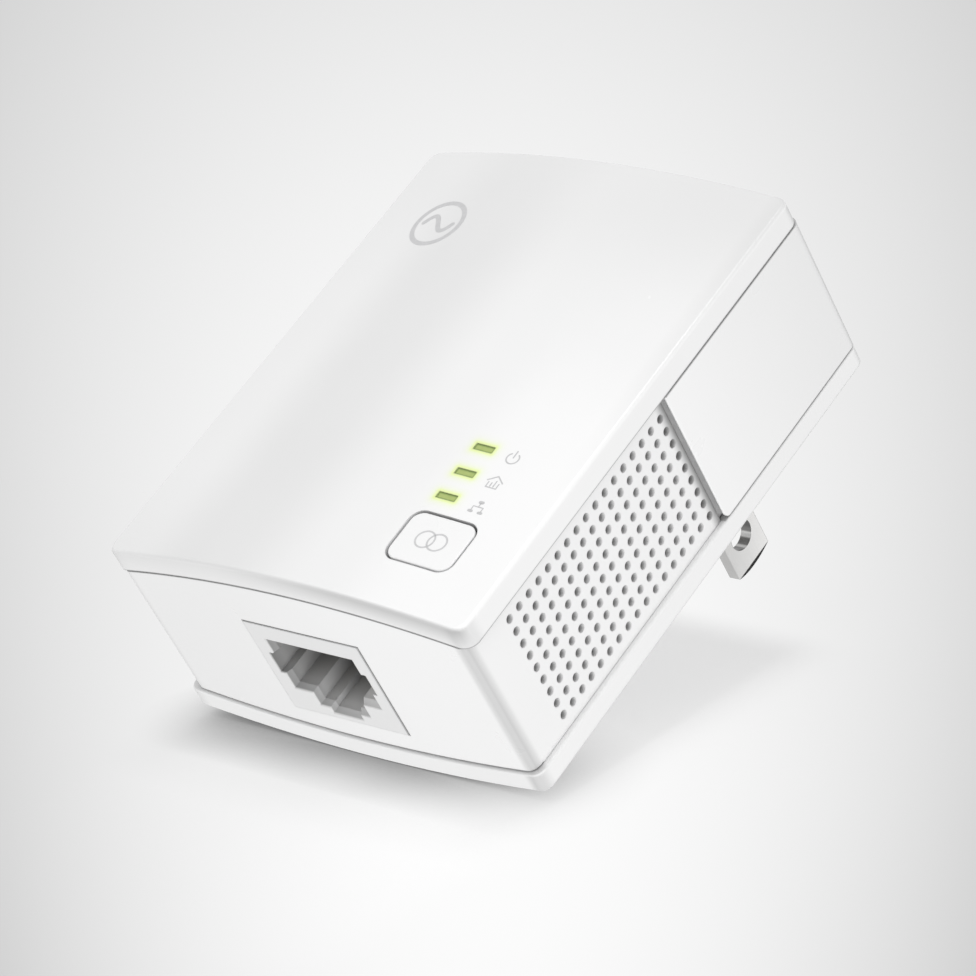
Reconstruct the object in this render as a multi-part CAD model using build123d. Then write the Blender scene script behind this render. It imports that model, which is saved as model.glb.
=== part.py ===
from build123d import *
import math
import os

# Plug-in powerline network adapter: a white three-piece case with a two-blade
# mains plug at the back, a network socket at the lower end, a sprung pairing
# button and three indicator windows on the crowned front.
#
# Frame, as it sits in a wall outlet: +Z up along the case, the front faces -Y,
# the wall is at +Y, +X is to the right seen from the front. The origin is
# midway between the blades on the plug face, the plane that meets the outlet.
# All sizes in millimetres.
#
# Three working coordinates describe every feature: x across the case, d the
# distance in front of the back crown, v the distance above the case's middle.
# A width runs along x and a length along v.

SIDES = (-1, 1)

# ---------------------------------------------------------------- case sizes
body_width = 52.0
body_length = 65.75          # over the back cover
case_top = 32.5              # upper end of all three pieces
case_low = -32.8             # lower end of the front cover and of the housing
case_foot = case_top - body_length   # lower end of the back cover, which stands out there
body_depth = 28.4            # crown of the back to crown of the front
front_sagitta = 2.2          # how far the front falls from middle to side
back_sagitta = 1.9           # how far the back falls from middle to side
front_corner = 1.6           # corner radii seen from the front
back_corner = 1.3
housing_corner = 1.2
raised_corner = 1.2
lip_inner_corner = 1.2       # corner radius of the covers' inner faces
front_lip = 2.85             # thickness of the front cover's edge
back_lip = 2.65              # thickness of the back cover's edge
parting_gap = 0.15           # shadow line between case pieces
cover_wall = 1.7
lip_wall = 1.5
cover_edge_round = 0.5
ledge_round = 0.3            # outer edge of the back cover's ledge

front_radius = ((body_width / 2) ** 2 + front_sagitta**2) / (2 * front_sagitta)
back_radius = ((body_width / 2) ** 2 + back_sagitta**2) / (2 * back_sagitta)
cover_length = case_top - case_low
cover_v = (case_top + case_low) / 2
cavity_width = body_width - 2 * lip_wall
cavity_length = cover_length - 2 * lip_wall

# Extents of blanks and cutters, clear of the finished faces
blank_back, blank_front = -5, 35
clear_back, clear_front = -9, 36
middle_d = 15                # inside the case, between the two covers
clear_x = 30

# ------------------------------------------------------- plug and where it is
boss_height = 6.5            # plug face behind the crown of the back
boss_width = 25.0
boss_length = 16.0
plug_inner_d = 6.0           # inner end of the plug base
blade_level = 20.6           # blade centre above the middle of the case
blade_spacing = 12.7         # centre to centre
blade_width = 6.35
blade_thick = 1.52
blade_reach = 17.05          # exposed length
blade_hole_at = 11.95        # hole centre from the plug face
blade_hole_r = 1.9
blade_tip_bulge = 0.8
blade_slot_clear = 0.05

# ------------------------------------------------------------- rating label
label_width, label_length, label_v = 33.0, 27.0, -8.5
label_bed_depth = 0.15

# ------------------------------------------------------- housing and vents
vent_recess = 0.83           # perforated walls set in from the covers' sides
vent_pitch = 1.84
vent_columns = 17            # along the case
vent_rows = 9                # through the depth
vent_r = 0.5
vent_first_v = -26.1
vent_first_d = 6.35
panel_step_v = 4.6           # raised smooth end panels start here
panel_lip = 0.27             # thickness of the raised panel's free edge over its slot
panel_slot = 1.0             # depth of that slot under the panel
slot_low_v = panel_step_v - 0.2
wall_outer_x = body_width / 2 - vent_recess
wall_in_x = 23.5             # inner faces of the housing walls
wall_in_v = 30.8
rear_part = back_sagitta + back_lip + parting_gap   # parting line at the sides

# ---------------------------------------------------------------- main board
board_d0 = 19.35             # rear face
board_thick = 1.6
board_d1 = board_d0 + board_thick    # front face
board_width = 45.6
board_v0, board_v1 = -29.9, 30.2

# ------------------------------------------------------------ network socket
jack_x = -0.6
jack_width = 16.85
jack_d0, jack_d1 = 5.6, board_d0
jack_proud = 0.1             # stands out of the end wall
jack_v0 = case_low - jack_proud
jack_length = 16.0
jack_gap = 0.15
mouth_half_width = 6.5       # the mouth steps narrower towards the back
mouth_front_d = 17.08
mouth_shoulder_d = 9.08
step_half_width = 3.8
step_d = 7.08
latch_half_width = 2.3
latch_d = 6.23
mouth_lead = 0.8             # depth of the tapered lead-in
mouth_lead_angle = 28.0
mouth_depth = 13.0
contact_d = 15.9             # rear faces of the contact wires
contact_pitch = 1.016
contact_size = 0.34

# ------------------------------------------------- front windows and button
window_x = 13.6
window_width, window_length, window_corner = 2.55, 0.88, 0.18
window_v = {"power": -10.2, "powerline": -13.85, "network": -17.4}
window_sink = 0.10
button_x, button_v = 15.64, -23.29
button_open_width, button_open_length, button_open_corner = 8.84, 7.08, 1.65
button_gap = 0.26
cap_base_d = 24.9            # lower rim of the button cap
switch_side = 6.0
switch_height = 3.5
plunger_end_d = 24.0

# -------------------------------------------------------------- fastenings
screw_x = 20.3
screw_v = (-26.8, 27.3)
screw_shank_r = 1.05
screw_head_r = 2.0
screw_places = [(side * screw_x, v) for side in SIDES for v in screw_v]
tower_r = 2.9


# ================================================================== helpers
def y_at(d):
    return -(boss_height + d)


def z_at(v):
    return v - blade_level


def box(x0, x1, d0, d1, v0, v1):
    centre = Pos((x0 + x1) / 2, (y_at(d0) + y_at(d1)) / 2, (z_at(v0) + z_at(v1)) / 2)
    return centre * Box(abs(x1 - x0), abs(d1 - d0), abs(v1 - v0))


def slab(width, length, d0, d1, x=0.0, v=0.0):
    # a box given by its size and centre seen from the front
    return box(x - width / 2, x + width / 2, d0, d1, v - length / 2, v + length / 2)


def front_plane(x, v, d):
    # seen from the front: local x across, local y up, normal forwards
    return Plane(origin=(x, y_at(d), z_at(v)), x_dir=(1, 0, 0), z_dir=(0, -1, 0))


def top_plane(x, d, v):
    # seen from above: local x across, local y towards the wall
    return Plane(origin=(x, y_at(d), z_at(v)), x_dir=(1, 0, 0), z_dir=(0, 0, 1))


def rounded(width, length, corner, d0, d1, x=0.0, v=0.0):
    return extrude(front_plane(x, v, d0) * RectangleRounded(width, length, corner), amount=d1 - d0)


def rod_deep(radius, x, v, d0, d1):
    return extrude(front_plane(x, v, d0) * Circle(radius), amount=d1 - d0)


def rod_up(radius, x, d, v0, v1):
    return extrude(top_plane(x, d, v0) * Circle(radius), amount=v1 - v0)


def rod_across(radius, d, v, x0, x1):
    plane = Plane(origin=(x0, y_at(d), z_at(v)), x_dir=(0, 1, 0), z_dir=(1, 0, 0))
    return extrude(plane * Circle(radius), amount=x1 - x0)


def front_bar(inset):
    # everything behind the crowned front, moved in by inset
    return Pos(0, y_at(body_depth - front_radius), z_at(0)) * Cylinder(front_radius - inset, 120)


def back_bar(inset):
    # everything in front of the crowned back, moved in by inset
    return Pos(0, y_at(back_radius), z_at(0)) * Cylinder(back_radius - inset, 120)


def on_rear(x, v, width, length, height, gap=0.0):
    # a block standing on the rear face of the board
    return slab(width, length, board_d0 - gap - height, board_d0 - gap, x, v)


def on_front(x, v, width, length, height, gap=0.0):
    # a block standing on the front face of the board
    return slab(width, length, board_d1 + gap, board_d1 + gap + height, x, v)


def save(name, *shapes):
    # write all the solids as one plain part
    solids = [solid for shape in shapes for solid in shape.solids()]
    if len(solids) > 1:
        part = Part(Compound(children=solids).wrapped)
    else:
        part = Part(solids[0].wrapped)
    part.label = name
    export_step(part, f"parts/{name}.step")


# =============================================================== front cover
def window_prism(v):
    return rounded(
        window_width, window_length, window_corner, middle_d, clear_front, window_x, v
    )


def front_cover():
    post_v = (-28.3, 27.6)
    post_r = 1.5
    sleeve_margin_x, sleeve_margin_v = 1.5, 1.3
    collar_d = 23.6
    collar_clear = 0.02
    opening = rounded(
        button_open_width, button_open_length, button_open_corner,
        middle_d, clear_front, button_x, button_v,
    )

    blank = rounded(
        body_width, cover_length, front_corner, middle_d, blank_front, v=cover_v
    ) & front_bar(0)
    blank = fillet(blank.faces().sort_by(Axis.Y)[0].edges(), cover_edge_round)
    cover = blank - front_bar(front_lip)
    cover -= rounded(
        cavity_width, cavity_length, lip_inner_corner, middle_d - 5, clear_front, v=cover_v
    ) & front_bar(cover_wall)
    # four posts that press the board onto the housing's pillars
    for side in SIDES:
        for v in post_v:
            post = rod_deep(post_r, side * screw_x, v, board_d1 + 0.05, blank_front)
            cover += post & front_bar(cover_wall - 0.4)
    # a short tube behind each window keeps its light from its neighbours
    for v in window_v.values():
        sleeve = rounded(
            window_width + sleeve_margin_x, window_length + sleeve_margin_v, 0.5,
            board_d1 + 1.5, blank_front, window_x, v,
        )
        cover += sleeve & front_bar(cover_wall - 0.3)
    for v in window_v.values():
        cover -= window_prism(v)
    # opening for the pairing button, with a guide collar behind it
    collar = rounded(
        button_open_width + 2.0, button_open_length + 1.4, button_open_corner + 0.5,
        collar_d, blank_front, button_x, button_v,
    )
    collar -= rounded(
        button_open_width + collar_clear, button_open_length + collar_clear,
        button_open_corner, middle_d, clear_front, button_x, button_v,
    )
    cover += collar & front_bar(cover_wall - 0.3)
    cover -= opening
    # room for the button's two retaining tongues
    for side in SIDES:
        cover -= box(
            button_x + side * (button_open_width / 2 - 0.3),
            button_x + side * (button_open_width / 2 + 0.75),
            22.0, 25.0, button_v - 1.3, button_v + 1.3,
        )
    return cover


# ============================================================ middle housing
def raised_panels():
    # full-width upper part, its lower rear corners rounded at the parting line
    knuckle = 0.9
    outline = Rectangle(body_width, case_top - panel_step_v)
    outline = fillet(outline.vertices().group_by(Axis.Y)[-1], raised_corner)
    outline = fillet(outline.vertices().group_by(Axis.Y)[0], 0.12)
    plane = front_plane(0, (case_top + panel_step_v) / 2, blank_back)
    raised = extrude(plane * outline, amount=blank_front - blank_back)
    round_d, round_v = rear_part + knuckle, panel_step_v + knuckle
    corner_cut = box(-clear_x, clear_x, clear_back, round_d, panel_step_v - 1, round_v)
    corner_cut -= rod_across(knuckle, round_d, round_v, -clear_x - 1, clear_x + 1)
    return raised - corner_cut


def cover_rims():
    # rims that locate the two covers
    fit = 0.1
    rim = rounded(
        cavity_width - 2 * fit, cavity_length - 2 * fit, lip_inner_corner - fit,
        blank_back, blank_front, v=cover_v,
    )
    rim = rim & front_bar(cover_wall + 0.15) & back_bar(cover_wall + 0.15)
    return rim - slab(2 * clear_x, 80, rear_part + 1.5, 22.0)


def board_pillar(x, v):
    # carries the board, takes a case screw and is ribbed to the nearest walls
    rib_d = 6.0
    rib_half = 0.9
    rib_end_v = 31.2 if v > 0 else -31.3
    rib_end_x = math.copysign(wall_in_x + 0.6, x)
    pillar = rod_deep(tower_r, x, v, 5.05, board_d0)
    pillar += box(x - rib_half, x + rib_half, rib_d, board_d0, v, rib_end_v)
    pillar += box(x, rib_end_x, rib_d, board_d0, v - rib_half, v + rib_half)
    return pillar - rod_deep(screw_shank_r + 0.02, x, v, 4.0, 15.0)


def vent_drills(side):
    drill_in_x, drill_out_x = 22.9, 26.4
    x0, x1 = sorted((side * drill_in_x, side * drill_out_x))
    return [
        rod_across(
            vent_r,
            vent_first_d + row * vent_pitch,
            vent_first_v + column * vent_pitch,
            x0,
            x1,
        )
        for column in range(vent_columns)
        for row in range(vent_rows)
    ]


def mid_housing():
    core_top = 20.0              # inside the raised part
    slot_in_x = 24.75
    foot_in_x, foot_low_v = 24.2, -31.2

    core = rounded(
        2 * wall_outer_x, core_top - case_low, housing_corner,
        blank_back, blank_front, v=(core_top + case_low) / 2,
    )
    housing = core + raised_panels()
    # a slot runs under the free edge of each raised panel and a little way into the wall
    for side in SIDES:
        housing -= box(
            side * slot_in_x, side * (body_width / 2 - panel_lip),
            clear_back, clear_front, slot_low_v, panel_step_v + panel_slot,
        )
    housing &= front_bar(front_lip + parting_gap)
    housing &= back_bar(back_lip + parting_gap)
    # below the raised panels the side walls stand on the back cover without a gap
    for side in SIDES:
        foot = box(
            side * foot_in_x, side * wall_outer_x, clear_back, 12, foot_low_v, slot_low_v
        )
        housing += (foot & back_bar(back_lip + 0.02)) - back_bar(back_lip + parting_gap + 0.2)
    housing += cover_rims()
    housing -= rounded(2 * wall_in_x, 2 * wall_in_v, 1.2, clear_back, clear_front)
    for x, v in screw_places:
        housing += board_pillar(x, v)
    # socket opening in the lower end
    housing -= box(
        jack_x - jack_width / 2 - jack_gap, jack_x + jack_width / 2 + jack_gap,
        jack_d0 - jack_gap, jack_d1 + jack_gap, -35, -29,
    )
    # square grid of small round vents through both long walls
    for side in SIDES:
        housing -= vent_drills(side)
    return housing


# ====================================================== back cover and label
def back_cover():
    blank = rounded(
        body_width, body_length, back_corner, blank_back, middle_d, v=(case_top + case_foot) / 2
    )
    blank &= back_bar(0)
    blank = fillet(blank.faces().sort_by(Axis.Y)[-1].edges(), cover_edge_round)
    cover = blank - back_bar(back_lip)
    cover = fillet(cover.faces().sort_by(Axis.Y)[0].edges(), ledge_round)
    cover -= rounded(
        cavity_width, cavity_length, lip_inner_corner, clear_back, middle_d + 5, v=cover_v
    ) & back_bar(cover_wall)
    # flat land behind the plug flange
    cover += rounded(
        boss_width + 7, boss_length + 4, 2.0, 0.0, 2.5, v=blade_level
    ) & back_bar(0.6)
    # screw towers with sunk heads
    for x, v in screw_places:
        cover += rod_deep(tower_r, x, v, 0.0, 5.0) & back_bar(0.6)
    for x, v in screw_places:
        cover -= rod_deep(screw_head_r + 0.25, x, v, clear_back, 3.4)
        cover -= rod_deep(screw_shank_r + 0.15, x, v, 2.0, 6.0)
    # plug opening
    cover -= rounded(
        boss_width + 0.2, boss_length + 0.2, 3.1, clear_back, clear_front, v=blade_level
    )
    # shallow bed for the rating label
    bed = rounded(
        label_width + 0.4, label_length + 0.4, 1.2, clear_back, 6, v=label_v
    )
    return cover - (bed - back_bar(label_bed_depth))


def rating_label():
    label = rounded(label_width, label_length, 1.0, -2, 4, v=label_v) & back_bar(0.03)
    return label - back_bar(label_bed_depth)


# ============================================================ plug and blades
def plug_base():
    flange_d0, flange_d1 = 2.5, 4.3
    base = rounded(boss_width, boss_length, 3.0, -boss_height, flange_d0, v=blade_level)
    base = fillet(base.faces().sort_by(Axis.Y)[-1].edges(), 0.7)
    base += rounded(
        boss_width + 5.6, boss_length + 3.4, 2.0, flange_d0, flange_d1, v=blade_level
    )
    base += rounded(19.0, 9.6, 1.5, flange_d1, plug_inner_d, v=blade_level)
    for side in SIDES:
        base -= slab(
            blade_thick + 2 * blade_slot_clear, blade_width + 2 * blade_slot_clear,
            clear_back, plug_inner_d + 1, side * blade_spacing / 2, blade_level,
        )
    return base


def plug_blade(x):
    # the blade is centred on z = 0
    half_thick, half_width = blade_thick / 2, blade_width / 2
    coin_depth = 0.34
    root_y = y_at(plug_inner_d)
    tip_y = blade_reach
    edge_y = tip_y - blade_tip_bulge
    # outline in the plane of the wide face: local x towards the wall, local y up
    side_plane = Plane(origin=(x - half_thick, 0, 0), x_dir=(0, 1, 0), z_dir=(1, 0, 0))
    outline = make_face(
        [
            Line((root_y, -half_width), (edge_y, -half_width)),
            ThreePointArc((edge_y, -half_width), (tip_y, 0), (edge_y, half_width)),
            Line((edge_y, half_width), (root_y, half_width)),
            Line((root_y, half_width), (root_y, -half_width)),
        ]
    )
    blade = extrude(side_plane * outline, amount=blade_thick)
    blade -= rod_across(
        blade_hole_r, -(boss_height + blade_hole_at), blade_level, x - 3, x + 3
    )
    # both wide faces are coined to a thinner tip
    for side in SIDES:
        wedge = make_face(
            Polyline(
                (side * half_thick, edge_y),
                (side * (half_thick - coin_depth), tip_y + 0.05),
                (side * (half_thick + 0.6), tip_y + 0.05),
                (side * (half_thick + 0.6), edge_y),
                close=True,
            )
        )
        blade -= extrude(Pos(x, 0, -5) * wedge, amount=10)
    # narrow tail that plugs into the board terminal
    blade += slab(blade_thick, 4.0, plug_inner_d - 0.5, plug_inner_d + 5.0, x, blade_level)
    return blade


def blade_terminal(x):
    # folded spring fork that grips a blade tail and stands on the board
    cut_length = 6.0
    fork = slab(3.4, 4.8, 6.6, board_d0, x, blade_level)
    fork -= slab(blade_thick + 0.06, cut_length, 6.0, 11.6, x, blade_level)
    fork -= slab(2.4, cut_length, 12.4, board_d0 - 0.6, x, blade_level)
    for side in SIDES:
        fork -= slab(0.6, 0.6, 6.0, 9.0, x + side * 1.5, blade_level)
    return fork


def case_screw(x, v):
    recess_span, recess_width = 2.3, 0.44
    screw = rod_deep(screw_head_r, x, v, 1.9, 3.38)
    screw = fillet(screw.edges().sort_by(Axis.Y)[-1], 0.5)
    screw += rod_deep(screw_shank_r, x, v, 3.3, 13.5)
    screw = chamfer(screw.edges().sort_by(Axis.Y)[0], 0.4)
    # cross recess
    screw -= slab(recess_span, recess_width, 1.5, 2.8, x, v)
    screw -= slab(recess_width, recess_span, 1.5, 2.8, x, v)
    return screw


def main_board():
    board = rounded(
        board_width, board_v1 - board_v0, 0.8, board_d0, board_d1, v=(board_v0 + board_v1) / 2
    )
    # isolation slots between the mains side and the low-voltage side
    for side in SIDES:
        board -= slab(11.5, 1.0, board_d0 - 1, board_d1 + 1, side * 14.75, 8.1)
    return board


# ============================================================ network socket
def mouth_face(shrink):
    # local y runs towards the wall, so depths change sign
    wide = mouth_half_width - shrink
    step = step_half_width - shrink
    latch = latch_half_width - shrink
    front_y = -(mouth_front_d - shrink)
    shoulder_y = -(mouth_shoulder_d + shrink)
    step_y = -(step_d + shrink)
    latch_y = -(latch_d + shrink)
    return make_face(
        Polyline(
            (-wide, front_y),
            (wide, front_y),
            (wide, shoulder_y),
            (step, shoulder_y),
            (step, step_y),
            (latch, step_y),
            (latch, latch_y),
            (-latch, latch_y),
            (-latch, step_y),
            (-step, step_y),
            (-step, shoulder_y),
            (-wide, shoulder_y),
            close=True,
        )
    )


def socket_housing():
    slot_half, channel_half = 7.15, 4.6
    shell = box(
        jack_x - jack_width / 2, jack_x + jack_width / 2,
        jack_d0, jack_d1, jack_v0, jack_v0 + jack_length,
    )
    mouth = top_plane(jack_x, 0, jack_v0)
    shrink = mouth_lead * math.tan(math.radians(mouth_lead_angle))
    shell -= loft(
        [mouth * mouth_face(0), mouth.offset(mouth_lead) * mouth_face(shrink)], ruled=True
    )
    shell -= extrude(mouth * mouth_face(shrink), amount=mouth_depth)
    # side slots in the mouth
    shell -= box(
        jack_x - slot_half, jack_x + slot_half,
        jack_d1 - 7.8, jack_d1 - 4.6, jack_v0 - 1, jack_v0 + 5.0,
    )
    # opening towards the board for the contact wires, and a channel below it
    for d0, d1, low, high in (
        (contact_d - 0.22, jack_d1 + 1, 10.5, 14.0),
        (contact_d + 0.52, jack_d1 - 0.9, 1.6, 11),
    ):
        shell -= box(
            jack_x - channel_half, jack_x + channel_half, d0, d1, jack_v0 + low, jack_v0 + high
        )
    return shell


def socket_contact(x):
    # straight wire with both ends bent forwards, the upper one reaching the board
    half = contact_size / 2
    low, high = jack_v0 + 2.2, jack_v0 + 12.0
    wire = box(x - half, x + half, contact_d, contact_d + contact_size, low, high + 0.2)
    wire += box(x - half, x + half, contact_d, contact_d + 1.18, low, low + contact_size)
    wire += box(x - half, x + half, contact_d, board_d0 - 0.02, high, high + contact_size)
    return wire


# ==================================================== button and its switch
def pair_button():
    cap_width = button_open_width - 2 * button_gap
    cap_length = button_open_length - 2 * button_gap
    stem_r = 1.3
    cap = rounded(
        cap_width, cap_length, button_open_corner - button_gap,
        cap_base_d, blank_front, button_x, button_v,
    ) & front_bar(0.02)
    cap = fillet(cap.faces().sort_by(Axis.Y)[0].edges(), 0.16)
    # hollow underside, leaving the push stem in the middle
    hollow = rounded(cap_width - 2.0, cap_length - 2.0, 0.6, 24.0, 26.1, button_x, button_v)
    cap -= hollow - rod_deep(stem_r, button_x, button_v, 23.0, 27.0)
    cap += rod_deep(stem_r, button_x, button_v, plunger_end_d + 0.02, 26.6)
    # retaining tongues that stop the cap falling out forwards
    for side in SIDES:
        cap += box(
            button_x + side * (cap_width / 2 - 1.0),
            button_x + side * (button_open_width / 2 + 0.55),
            24.1, cap_base_d, button_v - 1.1, button_v + 1.1,
        )
    return cap


def switch_body():
    foot_pitch = 4.5
    body = on_front(button_x, button_v, switch_side, switch_side, switch_height)
    body = chamfer(body.edges().filter_by(Axis.Y), 0.5)
    body -= rod_deep(1.78, button_x, button_v, board_d1 + 2.0, board_d1 + 6)
    body -= rod_deep(2.3, button_x, button_v, board_d1 + 1.2, board_d1 + 2.9)
    for side in SIDES:
        for end in SIDES:
            foot_x = button_x + side * (switch_side / 2 + 0.4)
            foot_v = button_v + end * foot_pitch / 2
            body += on_front(foot_x, foot_v, width=1.0, length=0.7, height=0.3)
    return body


def switch_plunger():
    low = board_d1 + 2.05
    plunger = rod_deep(1.72, button_x, button_v, low, plunger_end_d)
    plunger += rod_deep(2.2, button_x, button_v, low, low + 0.7)
    return chamfer(plunger.edges().sort_by(Axis.Y)[0], 0.2)


def switch_dome():
    # thin snap dome under the plunger
    radius, rise, sheet = 2.15, 0.35, 0.12
    ball_r = (radius**2 + rise**2) / (2 * rise) + sheet
    centre = Pos(button_x, y_at(board_d1 + 1.69 - ball_r), z_at(button_v))
    dome = rod_deep(radius, button_x, button_v, board_d1 + 1.22, board_d1 + 2.2)
    dome &= centre * Sphere(ball_r)
    return dome - centre * Sphere(ball_r - sheet)


# ==================================================== light pipes and lamps
def light_pipe(v):
    pipe = rounded(
        window_width - 0.1, window_length - 0.1, 0.14, board_d1 + 1.0, blank_front, window_x, v
    )
    return pipe & front_bar(window_sink)


def lamp(v):
    base_height = 0.3
    base = on_front(window_x, v, width=1.6, length=0.8, height=base_height)
    lens = on_front(window_x, v, width=1.1, length=0.8, height=0.45, gap=base_height)
    lens = fillet(lens.edges().group_by(Axis.Y)[0], 0.12)
    return base + lens


# ================================================ parts behind the main board
# isolating transformer: core with a centre leg, winding and base
transformer_x, transformer_v = -14.6, -0.6
core_height, core_gap = 11.4, 1.2
core_d1 = board_d0 - core_gap
core_d0 = core_d1 - core_height


def transformer_core():
    place = (transformer_x, transformer_v)
    core = on_rear(*place, width=13.0, length=13.4, height=core_height, gap=core_gap)
    core -= slab(16.0, 8.4, core_d0 + 2.7, core_d1 - 2.7, *place)
    core += slab(6.0, 3.2, core_d0 + 2.6, core_d1 - 2.6, *place)
    return core


def transformer_winding():
    place = (transformer_x, transformer_v)
    winding = rounded(11.4, 7.9, 1.2, core_d0 + 2.85, core_d1 - 2.85, *place)
    return winding - slab(6.3, 3.5, 0, 30, *place)


def transformer_base():
    return on_rear(
        transformer_x, transformer_v, width=13.2, length=14.8, height=1.05, gap=0.05
    )


def capacitor(x, d, v0, v1, radius):
    # electrolytic capacitor lying along the case, with its crimp groove
    lead_r = 0.3
    body = rod_up(radius, x, d, v0, v1)
    body = fillet(body.edges().group_by(Axis.Z)[-1], 0.5)
    groove = rod_up(radius + 1, x, d, v0 + 1.4, v0 + 2.1)
    groove -= rod_up(radius - 0.35, x, d, v0 + 1.3, v0 + 2.2)
    body -= groove
    for side in SIDES:
        lead_x = x + side * radius * 0.45
        body += rod_up(lead_r, lead_x, d, v0 - 1.2, v0 + 0.1)
        body += box(
            lead_x - lead_r, lead_x + lead_r, d - lead_r, board_d0, v0 - 1.5, v0 - 0.9
        )
    return body


def suppression_capacitor():
    x, v = 14.9, 12.5
    body = on_rear(x, v, width=13.0, length=5.2, height=10.6, gap=0.4)
    body = fillet(body.edges(), 0.4)
    for side in SIDES:
        body += rod_deep(0.35, x + side * 5.0, v, board_d0 - 1.0, board_d0)
    return body


def surge_absorber():
    x, v0, v1 = -16.6, 12.0, 15.8
    disc = rod_up(4.2, x, board_d0 - 5.4, v0, v1)
    disc = fillet(disc.edges(), 0.9)
    for side in SIDES:
        disc += rod_deep(0.35, x + side * 2.5, (v0 + v1) / 2, board_d0 - 3.6, board_d0)
    return disc


def mains_fuse():
    x, v = -13.2, 19.9
    fuse = rod_deep(2.1, x, v, board_d0 - 6.6, board_d0 - 0.3)
    fuse = fillet(fuse.edges().sort_by(Axis.Y)[-1], 0.4)
    for side in SIDES:
        fuse += rod_deep(0.3, x, v + side * 1.2, board_d0 - 0.5, board_d0)
    return fuse


def bridge_rectifier():
    body = on_rear(-18.6, 21.2, width=4.6, length=6.4, height=2.4)
    return chamfer(body.edges().group_by(Axis.Y)[-1], 0.5)


# line filter choke: ring core with two windings
choke_x, choke_v = 14.9, 20.7
choke_outer_r, choke_inner_r = 4.7, 2.4


def choke_core():
    ring = rod_deep(choke_outer_r, choke_x, choke_v, board_d0 - 6.6, board_d0 - 1.0)
    ring -= rod_deep(choke_inner_r, choke_x, choke_v, board_d0 - 8, board_d0)
    return fillet(ring.edges(), 0.4)


def choke_turns():
    turns_per_winding, turn_step = 8, 8.6
    ring_r = (choke_outer_r + choke_inner_r) / 2
    turns = []
    for start in (25, 205):
        for k in range(turns_per_winding):
            degrees = start + k * turn_step
            angle = math.radians(degrees)
            x = choke_x + ring_r * math.cos(angle)
            v = choke_v + ring_r * math.sin(angle)
            turn = slab(3.3, 0.42, board_d0 - 7.15, board_d0 - 0.45)
            turn -= slab(2.34, 2, board_d0 - 6.62, board_d0 - 0.98)
            # turn the loop about its own centre line, then carry it round the ring
            turns.append(Pos(x, 0, z_at(v)) * Rot(0, -degrees, 0) * Pos(0, 0, -z_at(0)) * turn)
    return turns


def signal_coupler():
    x, v = -16.2, -14.6
    body = on_rear(x, v, width=9.6, length=8.4, height=7.2, gap=0.3)
    body = fillet(body.edges().filter_by(Axis.Y), 0.5)
    for side in SIDES:
        for k in (-1, 0, 1):
            body += on_rear(x + side * 4.3, v + k * 2.5, width=0.6, length=0.6, height=0.6)
    return body


def network_isolator():
    x, v = -1.3, -11.2
    pin_count, pin_pitch = 8, 1.27
    body = on_rear(x, v, width=12.7, length=7.0, height=3.6, gap=0.2)
    body = chamfer(body.edges().group_by(Axis.Y)[-1], 0.3)
    for side in SIDES:
        for k in range(pin_count):
            pin_x = x + (k - (pin_count - 1) / 2) * pin_pitch
            body += on_rear(pin_x, v + side * 3.7, width=0.44, length=0.8, height=0.3)
    return body


# ============================================== parts in front of the board
modem_x, modem_v = -6.0, -6.0


def modem_chip():
    chip = on_front(modem_x, modem_v, width=12.0, length=12.0, height=0.9, gap=0.05)
    # round mark in the upper left corner
    return chip - rod_deep(0.45, modem_x - 4.9, modem_v + 4.9, board_d1 + 0.85, board_d1 + 2)


def thermal_pad():
    return on_front(modem_x, modem_v, width=11.0, length=11.0, height=0.5, gap=0.95)


def heat_sink():
    side, fin_count, fin_pitch = 18.0, 6, 3.36
    sink = on_front(modem_x, modem_v, side, side, height=1.2, gap=1.45)
    for k in range(fin_count):
        fin_x = modem_x + (k - (fin_count - 1) / 2) * fin_pitch
        sink += on_front(fin_x, modem_v, width=1.0, length=side, height=1.3, gap=2.6)
    return sink


def leaded_chip(x, v, width, length, height, lead_count, pitch):
    # chip with a row of leads down its left and right sides
    lead_width = 0.32
    chip = on_front(x, v, width, length, height, gap=0.08)
    chip = chamfer(chip.edges().group_by(Axis.Y)[0], 0.12)
    for side in SIDES:
        edge = width / 2
        for k in range(lead_count):
            lead_v = v + (k - (lead_count - 1) / 2) * pitch
            chip += on_front(x + side * (edge + 0.35), lead_v, 0.9, lead_width, height=0.2)
            chip += on_front(x + side * edge, lead_v, 0.2, lead_width, height=0.5)
    return chip


def small_chip(v):
    return leaded_chip(8.6, v, width=3.9, length=4.9, height=1.4, lead_count=4, pitch=1.27)


def crystal():
    body = on_front(8.4, -1.6, width=3.2, length=2.5, height=0.8, gap=0.02)
    return fillet(body.edges().filter_by(Axis.Y), 0.3)


# ============================================================== write pieces
os.makedirs("parts", exist_ok=True)

save("front_cover", front_cover())
save("mid_housing", mid_housing())
save("back_cover", back_cover())
save("rating_label", rating_label())
save("plug_base", plug_base())
for side_name, side in (("left", -1), ("right", 1)):
    save("plug_blade_" + side_name, plug_blade(side * blade_spacing / 2))
    save("blade_terminal_" + side_name, blade_terminal(side * blade_spacing / 2))
save("case_screws", *[case_screw(x, v) for x, v in screw_places])
save("main_board", main_board())

save("socket_housing", socket_housing())
save("socket_contacts", *[socket_contact(jack_x + (k - 3.5) * contact_pitch) for k in range(8)])
save("pair_button", pair_button())
save("switch_body", switch_body())
save("switch_plunger", switch_plunger())
save("switch_dome", switch_dome())
for name, v in window_v.items():
    save("light_pipe_" + name, light_pipe(v))
    save("lamp_" + name, lamp(v))

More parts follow.
